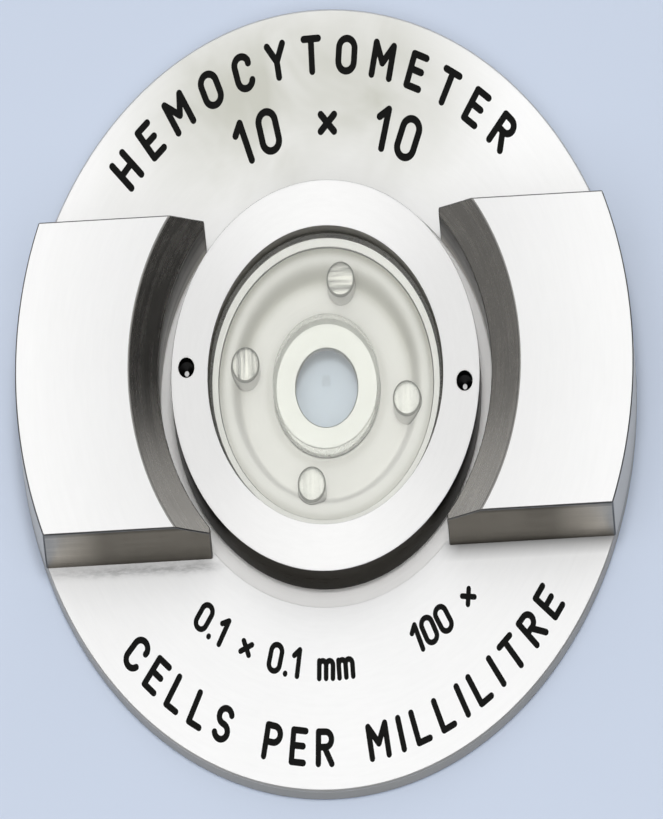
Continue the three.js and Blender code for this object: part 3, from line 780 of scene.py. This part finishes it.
def base_plate():
    b = Builder()
    hole_top = {n: circle(1.65, x, y, 48) for n, (x, y) in SCREWS.items()}
    # side, from the underside's outer edge up to the top face, with a broken edge above and below
    prof, mats = banded(
        [
            (BASE_R - EDGE - 0.1, 0, 0, 5),
            (BASE_R - EDGE, 0, 0.1, 1),
            (BASE_R, EDGE, 0.12, 2),
            (BASE_R, BASE_T - EDGE, 0.12, 1),
            (BASE_R - EDGE, BASE_T, 0.1, 0),
            (BASE_R - EDGE - 0.1, BASE_T, 0, 0),
        ]
    )
    b.lathe(prof, mats)
    # recess, bore and the counterbore for the lock ring
    prof, mats = banded(
        [
            (RECESS_R + 0.15, BASE_T, 0, 0),
            (RECESS_R, BASE_T, 0.05, 3),
            (RECESS_R, RECESS_Z, 0.10, 3),
            (BORE_R + 0.2, RECESS_Z, 0, 1),
            (BORE_R, RECESS_Z - 0.2, 0, 4),
            (BORE_R, NUT_BORE_Z, 0, 5),
            (NUT_BORE_R, NUT_BORE_Z, 0, 4),
            (NUT_BORE_R, 0.25, 0, 1),
            (NUT_BORE_R + 0.25, 0, 0, 1),
        ]
    )
    b.lathe(prof, mats)
    # top face, cut along the engraving
    outer, inner = BASE_R - EDGE - 0.1, RECESS_R + 0.15
    loops = [(circle(outer), True), (circle(inner), True)]
    loops += [(h, True) for h in hole_top.values()]
    loops += [(l, True) for l, _, _ in CAPSULES]

    def ring(x, y):
        d = math.hypot(x, y)
        if d > outer or not outside(x, y, 0, 0, inner, SEG):
            return False
        return all(outside(x, y, cx, cy, 1.65, 48) for cx, cy in SCREWS.values())

    pts, edges = [], []
    for loop, _ in loops:
        s = len(pts)
        pts += [Vector(p) for p in loop]
        edges += [(s + i, s + (i + 1) % len(loop)) for i in range(len(loop))]
    vs, _, tris, _, _, _ = delaunay_2d_cdt(pts, edges, [], 0, 1e-5)
    kinds, edge_of = {}, {}
    for k, t in enumerate(tris):
        p = [vs[i] for i in t]
        x, y = sum(q.x for q in p) / 3, sum(q.y for q in p) / 3
        if not ring(x, y):
            continue
        cut = in_stroke(x, y)
        area = (p[1].x - p[0].x) * (p[2].y - p[0].y) - (p[1].y - p[0].y) * (p[2].x - p[0].x)
        t = list(t) if area > 0 else list(t)[::-1]
        kinds[k] = (cut, t)
        for i in range(3):
            edge_of[(t[i], t[(i + 1) % 3])] = cut
        z = BASE_T - GROOVE if cut else BASE_T
        b.face([(vs[i].x, vs[i].y, z) for i in t], 6 if cut else 0)
    fill = Builder()
    fz0, fz1 = BASE_T - GROOVE + 0.004, BASE_T - FILL
    for cut, t in kinds.values():
        for i in range(3):
            u, w = t[i], t[(i + 1) % 3]
            if cut and edge_of.get((w, u)) is False:
                pu, pw = vs[u], vs[w]
                b.face([(pw.x, pw.y, BASE_T - GROOVE), (pu.x, pu.y, BASE_T - GROOVE), (pu.x, pu.y, BASE_T), (pw.x, pw.y, BASE_T)], 6)
                fill.face([(pu.x, pu.y, fz0), (pw.x, pw.y, fz0), (pw.x, pw.y, fz1), (pu.x, pu.y, fz1)], 0)
        if cut:
            fill.face([(vs[i].x, vs[i].y, fz1) for i in t], 0)
            fill.face([(vs[i].x, vs[i].y, fz0) for i in t[::-1]], 0)
    # underside, with the countersunk screw holes
    o2, i2 = BASE_R - EDGE - 0.1, NUT_BORE_R + 0.25
    loops = [(circle(o2), True), (circle(i2), True)] + [(circle(3.1, x, y, 48), True) for x, y in SCREWS.values()]
    b.flat(
        0.0,
        loops,
        lambda x, y: outside(x, y, 0, 0, i2, SEG) and math.hypot(x, y) < o2 and all(outside(x, y, cx, cy, 3.1, 48) for cx, cy in SCREWS.values()),
        up=False,
        mat=5,
    )
    for x, y in SCREWS.values():
        b.lathe([(1.65, BASE_T), (1.65, 1.45), (3.1, 0.0)], [4, 5], 48, x, y)
    plate = b.build("base_plate_turned", [M_TOP, M_EDGE, M_RIM, M_RECESS, M_BORE, M_UNDER, M_BORE])
    paint = fill.build("engraving_fill", [M_PAINT])
    return plate, paint


plate, paint = base_plate()
ride(plate, "base", "steel", "base_plate")
ride(paint, "base", "blackened")

# ------------------------------------------------------------------ handle blocks


def handle(side, name):
    """One block, from rows of vertices that each run from the front to the back."""
    n = 72
    b = Builder()

    def row(r, z):
        lim = math.asin(HANDLE_W / r)
        if r * math.cos(lim) < TIP_X:
            lim = math.acos(TIP_X / r)
        return [(side * r * math.cos(t), r * math.sin(t), z) for t in (lim * (2 * i / n - 1) for i in range(n + 1))]

    def band(rows, mat):
        for p, q in zip(rows, rows[1:]):
            for i in range(n):
                f = [p[i], p[i + 1], q[i + 1], q[i]]
                b.face(f if side > 0 else f[::-1], mat)

    slope_r = [SLOPE_LOW_R + (SLOPE_TOP_R - SLOPE_LOW_R) * k / 12 for k in range(13)]
    tip_r = math.hypot(TIP_X, HANDLE_W)
    slope_r = sorted(slope_r + [tip_r])
    slope = [row(r, SLOPE_Z + (HANDLE_TOP - SLOPE_Z) * (r - SLOPE_LOW_R) / (SLOPE_TOP_R - SLOPE_LOW_R)) for r in slope_r]
    inner = [row(SLOPE_LOW_R, z) for z in (BASE_T, 4.5, 6.7, SLOPE_Z)]
    topf = [row(r, HANDLE_TOP) for r in [SLOPE_TOP_R + (BASE_R - SLOPE_TOP_R) * k / 8 for k in range(9)]]
    outer = [row(BASE_R, z) for z in (HANDLE_TOP, 8.0, 5.0, BASE_T)]
    foot_r = sorted([SLOPE_LOW_R + (BASE_R - SLOPE_LOW_R) * k / 8 for k in range(9)] + [tip_r])
    foot = [row(r, BASE_T) for r in foot_r][::-1]
    band(inner, 2)
    band(slope, 1)
    band(topf, 0)
    band(outer, 3)
    band(foot, 5)
    for e, flip in ((0, False), (n, True)):
        # front or back face: foot line, outer edge, top line, slope line
        sec = [r[e] for r in slope if math.hypot(r[e][0], r[e][1]) >= tip_r - 1e-6]
        loop = sec + [r[e] for r in topf[1:]] + [r[e] for r in outer[1:]] + [r[e] for r in foot[1:] if math.hypot(r[e][0], r[e][1]) >= tip_r - 1e-6]
        if flip == (side > 0):
            loop = loop[::-1]
        b.face(loop, 4)
        tip = [r[e] for r in inner] + [r[e] for r in slope[1:] if math.hypot(r[e][0], r[e][1]) <= tip_r + 1e-6]
        tip += [r[e] for r in foot if math.hypot(r[e][0], r[e][1]) <= tip_r + 1e-6]
        if flip == (side > 0):
            tip = tip[::-1]
        b.face(tip, 4)
    ob = b.build(name, [M_HANDLE, M_SLOPE, M_WALL, M_OUTER, M_FACE, M_UNDER, M_BREAK])
    bm = bmesh.new()
    bm.from_mesh(ob.data)
    bmesh.ops.recalc_face_normals(bm, faces=bm.faces)
    bm.to_mesh(ob.data)
    bm.free()
    holes = [
        rod(f"cut_{i}", 1.55, BASE_T - 0.5, SCREW_TOP + 0.6, side * abs(x), y, 48, [M_BORE])
        for i, (x, y) in enumerate(v for k, v in SCREWS.items() if (v[0] > 0) == (side > 0))
    ]
    boolean(ob, holes)
    if M_BREAK.name not in [m.name for m in ob.data.materials if m]:
        ob.data.materials.append(M_BREAK)
    # the edges are broken all round, but not at the foot or in the screw holes
    whole = {i for i, m in enumerate(ob.data.materials) if m and m.name in (M_UNDER.name, M_BORE.name)}
    bm = bmesh.new()
    bm.from_mesh(ob.data)
    weight = bm.edges.layers.float.new("bevel_weight_edge")
    for e in bm.edges:
        if len(e.link_faces) == 2 and e.calc_face_angle() > math.radians(32) and not whole & {f.material_index for f in e.link_faces}:
            e[weight] = 1.0
    bm.to_mesh(ob.data)
    bm.free()
    bv = ob.modifiers.new("broken_edge", "BEVEL")
    bv.width, bv.segments, bv.limit_method = 0.15 * MM, 2, "WEIGHT"
    bv.use_clamp_overlap = False
    bv.harden_normals = False
    bv.material = [m.name if m else "" for m in ob.data.materials].index(M_BREAK.name)
    shade(ob, 30)
    return ob


for side, name in ((-1, "handle_left"), (1, "handle_right")):
    ride(handle(side, name + "_milled"), "base", "steel_side", name)

# ------------------------------------------------------------------ screws


def screw(name, x, y):
    b = Builder()
    prof, mats = banded(
        [
            (0, SCREW_LOW, 0, 0),
            (2.45, SCREW_LOW, 0, 0),
            (2.72, SCREW_LOW + 0.12, 0.06, 0),
            (1.5, SCREW_LOW + 1.4, 0.1, 0),
        ]
    )
    b.lathe(prof, mats, 64, x, y)
    # thread, drawn as close rings
    z, r0, r1 = SCREW_LOW + 1.4, 1.5, 1.27
    p = [(r0, z)]
    while z + 0.5 < SCREW_TOP - 0.4:
        p += [(r0, z + 0.06), (r1, z + 0.25), (r1, z + 0.31), (r0, z + 0.5)]
        z += 0.5
    p += [(r0, SCREW_TOP - 0.4), (1.1, SCREW_TOP), (0, SCREW_TOP)]
    b.lathe(p, [0] * (len(p) - 1), 64, x, y)
    ob = b.build(name + "_slotted", [M_SCREW])
    s = Builder()
    ca, sa = math.cos(0.6 + x), math.sin(0.6 + x)
    quad = [(-4, -0.4), (4, -0.4), (4, 0.4), (-4, 0.4)]
    q = [(x + u * ca - v * sa, y + u * sa + v * ca) for u, v in quad]
    z0, z1 = SCREW_LOW - 1, SCREW_LOW + 0.7
    s.face([(a, c, z1) for a, c in q])
    s.face([(a, c, z0) for a, c in q[::-1]])
    for i in range(4):
        (a, c), (d, e) = q[i], q[(i + 1) % 4]
        s.face([(a, c, z0), (d, e, z0), (d, e, z1), (a, c, z1)])
    boolean(ob, [s.build("slot", [M_SCREW])])
    shade(ob, 30)
    return ob


for n, (x, y) in SCREWS.items():
    ride(screw(n, x, y), "base", "screw_steel", n)

# ------------------------------------------------------------------ carrier: moat, seat and light port


def carrier():
    b = Builder()
    wall = []
    for i in range(25):
        k = i / 24
        wall.append((MOAT_FLOOR_R + (MOAT_WALL_R - MOAT_FLOOR_R) * k, MOAT_Z + (RIM_Z - MOAT_Z) * (1 - math.cos(math.pi * k)) / 2))
    prof, mats = banded(
        [
            (PORT_R + 0.1, SEAT_Z, 0, 2),
            (PORT_R, SEAT_Z - 0.1, 0, 2),
            (PORT_R, SEAT_Z - PORT_LAND, 0, 2),
            (PORT_LOW_R, CARRIER_LOW, 0.1, 2),
            (SPIGOT_R - 0.2, CARRIER_LOW, 0, 1),
            (SPIGOT_R, CARRIER_LOW + 0.2, 0, 2),
            (SPIGOT_R, RECESS_Z, 0, 2),
            (CARRIER_R + 0.08, RECESS_Z, 0, 2),
            (CARRIER_R + 0.08, RIM_Z, 0.12, 0),
            (MOAT_WALL_R, RIM_Z, 0, 0),
        ]
    )
    prof = prof[::-1]
    mats = mats[::-1]
    # walked the other way round, so that the solid is on its left
    prof2 = prof + []
    b2 = Builder()
    full = wall[::-1] + [(FLAT_R + 0.03, MOAT_Z), (FLAT_R + 0.03, SEAT_Z), (PORT_R + 0.1, SEAT_Z)]
    fm = [0] * 24 + [0, 2, 3]
    walk = [(p[0], p[1]) for p in prof2[::-1]]
    b2.lathe(walk + full[1:], mats[::-1] + fm)
    ob = b2.build("chamber_carrier_turned", [M_MOAT, M_EDGE, M_BORE, M_SEAT], 22)
    bm = bmesh.new()
    bm.from_mesh(ob.data)
    bmesh.ops.recalc_face_normals(bm, faces=bm.faces)
    bm.to_mesh(ob.data)
    bm.free()
    cut = []
    for i, (x, y) in enumerate(PINS):
        cb = Builder()
        cb.lathe([(0, PIN_LOW - 0.15), (1.05, PIN_LOW - 0.15), (1.05, MOAT_Z), (PIN_R + 0.08, MOAT_Z), (PIN_R + 0.08, RIM_Z + 1), (0, RIM_Z + 1)], [0] * 5, 72, x, y)
        c = cb.build(f"pocket_{i}", [M_MOAT])
        cut.append(c)
    boolean(ob, cut)
    shade(ob, 24)
    return ob


ride(carrier(), "base", "steel", "chamber_carrier")

# ------------------------------------------------------------------ optical flat


def disc(name, r, z0, z1, mat, top_edge=0.12, low_edge=0.12, seg=SEG, x=0.0, y=0.0, edge_mat=None, side_mat=None):
    b = Builder()
    b.lathe(
        [(0, z0), (r * 0.6, z0), (r - low_edge, z0), (r, z0 + low_edge), (r, z1 - top_edge), (r - top_edge, z1), (r * 0.6, z1), (0, z1)],
        [0, 0, 1, 2, 1, 0, 0],
        seg,
        x,
        y,
    )
    return b.build(name, [mat, edge_mat or mat, side_mat or edge_mat or mat], 40)


ride(disc("optical_flat_polished", FLAT_R, SEAT_Z + 0.015, FLAT_TOP, M_QUARTZ, 0.1, 0.42, edge_mat=M_GROUND, side_mat=M_FROST), "base", "clear_glass", "optical_flat")

# ------------------------------------------------------------------ spacer pins and quartz tips
for i, (x, y) in enumerate(PINS):
    b = Builder()
    prof, mats = banded(
        [
            (0, PIN_LOW, 0, 1),
            (0.85, PIN_LOW, 0, 1),
            (1.0, PIN_LOW + 0.15, 0, 1),
            (1.0, MOAT_Z, 0, 1),
            (PIN_R, MOAT_Z, 0.06, 1),
            (PIN_R, PIN_TOP, 0.06, 0),
            (0, PIN_TOP, 0, 0),
        ]
    )
    b.lathe(prof, mats, 96)
    # two pins carry a stronger painted reflection
    has_painted_sheen = abs(x) < abs(y) and y > 0 or abs(x) > abs(y) and x < 0
    pin = b.build(f"spacer_pin_{i + 1}_turned", [M_PIN_PAINTED_SHEEN if has_painted_sheen else M_PIN, M_PINSIDE])
    pin.location = (x * MM, y * MM, 0)
    pin.rotation_euler = (0, 0, math.radians(90 if abs(x) < abs(y) and y > 0 else 0))
    ride(pin, "base", "steel", f"spacer_pin_{i + 1}")
    tip = disc(f"quartz_tip_{i + 1}_polished", PIN_R, TIP_LOW + 0.012, TIP_TOP, M_TIP, 0.17, 0.05, 96, edge_mat=M_TIPEDGE)
    tip.location = (x * MM, y * MM, 0)
    ride(tip, "base", "clear_glass", f"quartz_tip_{i + 1}")

# ------------------------------------------------------------------ lock ring


def lock_ring():
    b = Builder()
    r_in = SPIGOT_R + 0.05
    prof, mats = banded(
        [
            (r_in, NUT_TOP, 0, 0),
            (r_in, NUT_LOW, 0.12, 0),
            (NUT_R, NUT_LOW, 0.18, 0),
            (NUT_R, NUT_TOP, 0.0, 0),
            (r_in, NUT_TOP, 0, 0),
        ]
    )
    b.lathe(prof, mats)
    ob = b.build("carrier_lock_ring_blackened", [M_DARK])
    c = (r_in + NUT_R) / 2
    cut = [rod(f"spanner_{i}", 0.75, NUT_LOW - 1, NUT_LOW + 0.8, s * c, 0, 48, [M_DARK]) for i, s in enumerate((-1, 1))]
    boolean(ob, cut)
    shade(ob, 30)
    return ob


ride(lock_ring(), "base", "blackened", "carrier_lock_ring")

# ------------------------------------------------------------------ cover: ring, seal, glass, counting grid


def turned_about(x, y, a):
    return x * math.cos(a) - y * math.sin(a), x * math.sin(a) + y * math.cos(a)


def cover_ring():
    b = Builder()
    lip_z = SEAL_LOW
    r_out, r_in = COVER_R - 0.3, COVER_BORE_R + 0.2
    prof, mats = banded(
        [
            (COVER_INNER_R, lip_z - 0.3, 0, 3),
            (COVER_INNER_R, COVER_LOW, 0.25, 4),
            (COVER_R, COVER_LOW, 0.35, 1),
            (COVER_R, COVER_TOP, 0.10, 0),
            (r_out, COVER_TOP, 0, 0),
        ]
    )
    b.lathe(prof, mats)
    prof, mats = banded(
        [
            (r_in, COVER_TOP, 0, 0),
            (COVER_BORE_R, COVER_TOP, 0.06, 2),
            (COVER_BORE_R, lip_z, 0.0, 5),
            (LIP_R, lip_z, 0.04, 5),
            (COVER_INNER_R, lip_z - 0.3, 0, 3),
        ]
    )
    b.lathe(prof, mats)
    spots = [turned_about(s * SPANNER_C, 0, COVER_TURN) for s in (-1, 1)]
    loops = [(circle(r_out), True), (circle(r_in), True)] + [(circle(SPANNER_R + 0.07, x, y, 72), True) for x, y in spots]
    b.flat(
        COVER_TOP,
        loops,
        lambda x, y: outside(x, y, 0, 0, r_in, SEG) and math.hypot(x, y) < r_out and all(outside(x, y, cx, cy, SPANNER_R + 0.07, 72) for cx, cy in spots),
        True,
        0,
    )
    for x, y in spots:
        zb = COVER_TOP - SPANNER_DEPTH
        b.lathe([(SPANNER_R + 0.07, COVER_TOP), (SPANNER_R, COVER_TOP - 0.07), (SPANNER_R, zb + 0.45), (0.27, zb + 0.05), (0.27, zb), (0, zb)], [5, 6, 7, 7, 0], 72, x, y)
    ob = b.build("cover_ring_turned", [M_RINGTOP, M_RINGWALL, M_COVERBORE, M_LIP, M_UNDER, M_LIP, M_HOLE, M_CONE])
    bm = bmesh.new()
    bm.from_mesh(ob.data)
    bmesh.ops.recalc_face_normals(bm, faces=bm.faces)
    bm.to_mesh(ob.data)
    bm.free()
    shade(ob, 30)
    return ob


ride(cover_ring(), "cover", "steel", "cover_ring")


def seal():
    b = Builder()
    prof, mats = banded(
        [
            (LIP_R, SEAL_TOP, 0, 0),
            (LIP_R - 0.0, SEAL_LOW, 0, 0),
            (COVER_BORE_R - 0.01, SEAL_LOW, 0, 0),
            (COVER_BORE_R - 0.01, SEAL_TOP, 0, 0),
            (LIP_R, SEAL_TOP, 0, 0),
        ]
    )
    b.lathe(prof, mats)
    return b.build("cover_seal_black", [M_SEAL])


ride(seal(), "cover_carriage", "seal", "cover_seal")
ride(disc("cover_glass_polished", COVER_BORE_R - 0.1, GLASS_LOW, GLASS_TOP, M_PANE, 0.1, 0.1), "cover", "cover_glass", "cover_glass")


def grid():
    """The counting grid: ten by ten squares of 0.1 mm, as raised lines under the cover glass."""
    w, pitch, n = 0.006, 0.1, 10
    z1, z0 = GLASS_LOW - 0.0005, GLASS_LOW - 0.004
    edges = []
    for i in range(n + 1):
        c = (i - n / 2) * pitch
        edges += [c - w / 2, c + w / 2]
    b = Builder(1000000)
    m = len(edges) - 1
    on = [[(i % 2 == 0) or (j % 2 == 0) for j in range(m)] for i in range(m)]

    def is_on(i, j):
        return 0 <= i < m and 0 <= j < m and on[i][j]

    for i in range(m):
        for j in range(m):
            if not on[i][j]:
                continue
            x0, x1, y0, y1 = edges[i], edges[i + 1], edges[j], edges[j + 1]
            b.face([(x0, y0, z1), (x1, y0, z1), (x1, y1, z1), (x0, y1, z1)])
            b.face([(x0, y1, z0), (x1, y1, z0), (x1, y0, z0), (x0, y0, z0)])
            for (di, dj, p, q) in (
                (1, 0, (x1, y0), (x1, y1)),
                (-1, 0, (x0, y1), (x0, y0)),
                (0, 1, (x1, y1), (x0, y1)),
                (0, -1, (x0, y0), (x1, y0)),
            ):
                if not is_on(i + di, j + dj):
                    b.face([(*p, z0), (*q, z0), (*q, z1), (*p, z1)])
    return b.build("counting_grid", [M_GRID])


ride(grid(), "cover", "blackened")

# ------------------------------------------------------------------ stage: pale floor, soft light


def stage():
    r = 12.0
    me = bpy.data.meshes.new("floor")
    n = 96
    ring_ = [(r * math.cos(2 * math.pi * i / n), r * math.sin(2 * math.pi * i / n), 0.0) for i in range(n)]
    me.from_pydata(ring_, [], [list(range(n))])
    t = Tree("floor_pale")
    o, x, y, z = t.coords()
    soft = t.noise(o, 9.0, 2.0, 0.5)
    p = t.node("ShaderNodeBsdfPrincipled")
    t.set(p.inputs["Base Color"], t.mix(soft, (0.60, 0.67, 0.80, 1), (0.62, 0.69, 0.82, 1)))
    p.inputs["Roughness"].default_value = 0.9
    p.inputs["Specular IOR Level"].default_value = 0.1
    # far from the object the camera sees the floor fade into the pale surround, as on a seamless studio sweep
    far = t.math("SQRT", t.math("ADD", t.math("MULTIPLY", x, x), t.math("MULTIPLY", y, y)))
    eye = t.nt.nodes.new("ShaderNodeLightPath")
    em = t.node("ShaderNodeEmission")
    em.inputs["Color"].default_value = (0.706, 0.713, 0.72, 1.0)
    mx = t.node("ShaderNodeMixShader")
    t.set(mx.inputs[0], t.math("MULTIPLY", t.ramp(far, 0.16, 0.75, 0.0, 1.0), eye.outputs["Is Camera Ray"]))
    t.nt.links.new(p.outputs[0], mx.inputs[1])
    t.nt.links.new(em.outputs[0], mx.inputs[2])
    t.nt.links.new(mx.outputs[0], t.out.inputs["Surface"])
    me.materials.append(t.mat)
    ob = bpy.data.objects.new("floor", me)
    bpy.context.scene.collection.objects.link(ob)


stage()


def lamp(name, place, aim, size, watts, colour=(1, 1, 1), size_y=None):
    d = bpy.data.lights.new(name, "AREA")
    d.shape = "RECTANGLE"
    d.size, d.size_y, d.energy, d.color = size, size_y or size, watts, colour
    ob = bpy.data.objects.new(name, d)
    bpy.context.scene.collection.objects.link(ob)
    ob.location = place
    ob.rotation_euler = (Vector(aim) - Vector(place)).to_track_quat("-Z", "Y").to_euler()
    return ob


softbox = lamp("softbox_overhead", (-0.02, 0.42, 1.05), (0, 0, 0), 1.25, 4.7, (1.0, 1.0, 0.995), 0.95)
softbox.visible_diffuse = False
softbox.visible_camera = False
top_fill = lamp("fill_top", (0.02, -0.02, 1.30), (0, 0, 0), 0.24, 6.9, (1.0, 1.0, 1.0))
top_fill.visible_glossy = False
top_fill.visible_transmission = False
top_fill.visible_camera = False
fill = lamp("fill_front", (-0.08, -0.42, 1.08), (0, 0, 0), 1.3, 5.0, (1.0, 1.0, 1.0), 1.1)
fill.visible_glossy = False
fill.visible_camera = False

world = bpy.data.worlds.new("soft_studio")
bpy.context.scene.world = world
world.use_nodes = True
nt = world.node_tree
nt.nodes.clear()


def wmath(op, a, b=0.0, clamp=False):
    n = nt.nodes.new("ShaderNodeMath")
    n.operation, n.use_clamp = op, clamp
    for s, v in ((0, a), (1, b)):
        if isinstance(v, bpy.types.NodeSocket):
            nt.links.new(v, n.inputs[s])
        else:
            n.inputs[s].default_value = v
    return n.outputs[0]


tc = nt.nodes.new("ShaderNodeTexCoord")
sp = nt.nodes.new("ShaderNodeSeparateXYZ")
nt.links.new(tc.outputs["Generated"], sp.inputs[0])
wx, wy, wz = sp.outputs


def wramp(v, lo, hi, a, b):
    n = nt.nodes.new("ShaderNodeMapRange")
    n.interpolation_type = "SMOOTHSTEP"
    nt.links.new(v, n.inputs[0])
    for i, k in enumerate((lo, hi, a, b)):
        n.inputs[i + 1].default_value = k
    return n.outputs[0]


# dim at the sides, more so on the right, and lighter at the back and overhead
side_glow = wramp(wx, -0.8, 0.8, 0.20, 0.038)
lift = wmath("MAXIMUM", wramp(wy, 0.38, 0.80, 0.0, 1.0), wramp(wz, 0.62, 0.92, 0.0, 1.0))
glow = wmath("ADD", side_glow, wmath("MULTIPLY", lift, wmath("SUBTRACT", 0.50, side_glow)))
# what the camera sees past the floor is as pale as the floor
lpath = nt.nodes.new("ShaderNodeLightPath")
seen = lpath.outputs["Is Camera Ray"]
glow = wmath("ADD", wmath("MULTIPLY", glow, wmath("SUBTRACT", 1.0, seen)), wmath("MULTIPLY", seen, 0.72))
bg = nt.nodes.new("ShaderNodeBackground")
bg.inputs["Color"].default_value = (0.98, 0.99, 1.0, 1.0)
nt.links.new(glow, bg.inputs["Strength"])
wo = nt.nodes.new("ShaderNodeOutputWorld")
nt.links.new(bg.outputs[0], wo.inputs["Surface"])

# ------------------------------------------------------------------ camera
# The line of sight is about 19 degrees off the vertical. The picture plane is swung away from it and the lens is
# shifted to match, which stretches the picture upwards as the photograph is. The shift belongs to this one place:
# it falls back to zero wherever else the camera is put.
cam_data = bpy.data.cameras.new("camera")
cam = bpy.data.objects.new("camera", cam_data)
bpy.context.scene.collection.objects.link(cam)
CAM_PLACE = (0.099383, -1.053712, 3.003068)
cam_right = Vector((0.9985723, -0.0304342, -0.0439001))
cam_up = Vector((0.053137, 0.4817808, 0.8746792))
cam_back = Vector((-0.00547, -0.8757631, 0.4827102))
m = Matrix((cam_right, cam_up, cam_back)).transposed().to_4x4()
m.translation = CAM_PLACE
cam.matrix_world = m
cam_data.lens, cam_data.sensor_width = 858.8553, 36
cam_data.clip_start, cam_data.clip_end = 0.1, 50
for prop, value in (("shift_x", 0.0092661), ("shift_y", -21.3753227)):
    drv = cam_data.driver_add(prop).driver
    drv.type = "SCRIPTED"
    for v, i in (("px", 0), ("py", 1), ("pz", 2)):
        var = drv.variables.new()
        var.name, var.type = v, "SINGLE_PROP"
        var.targets[0].id_type, var.targets[0].id = "OBJECT", cam
        var.targets[0].data_path = f"location[{i}]"
    drv.expression = (
        f"{value} if abs(px - {CAM_PLACE[0]}) + abs(py - {CAM_PLACE[1]}) + abs(pz - {CAM_PLACE[2]}) < 0.001 else 0.0"
    )
bpy.context.scene.camera = cam

view = bpy.context.scene.view_settings
view.view_transform = "Standard"
view.look = "None"
view.exposure, view.gamma = 0.0, 1.0
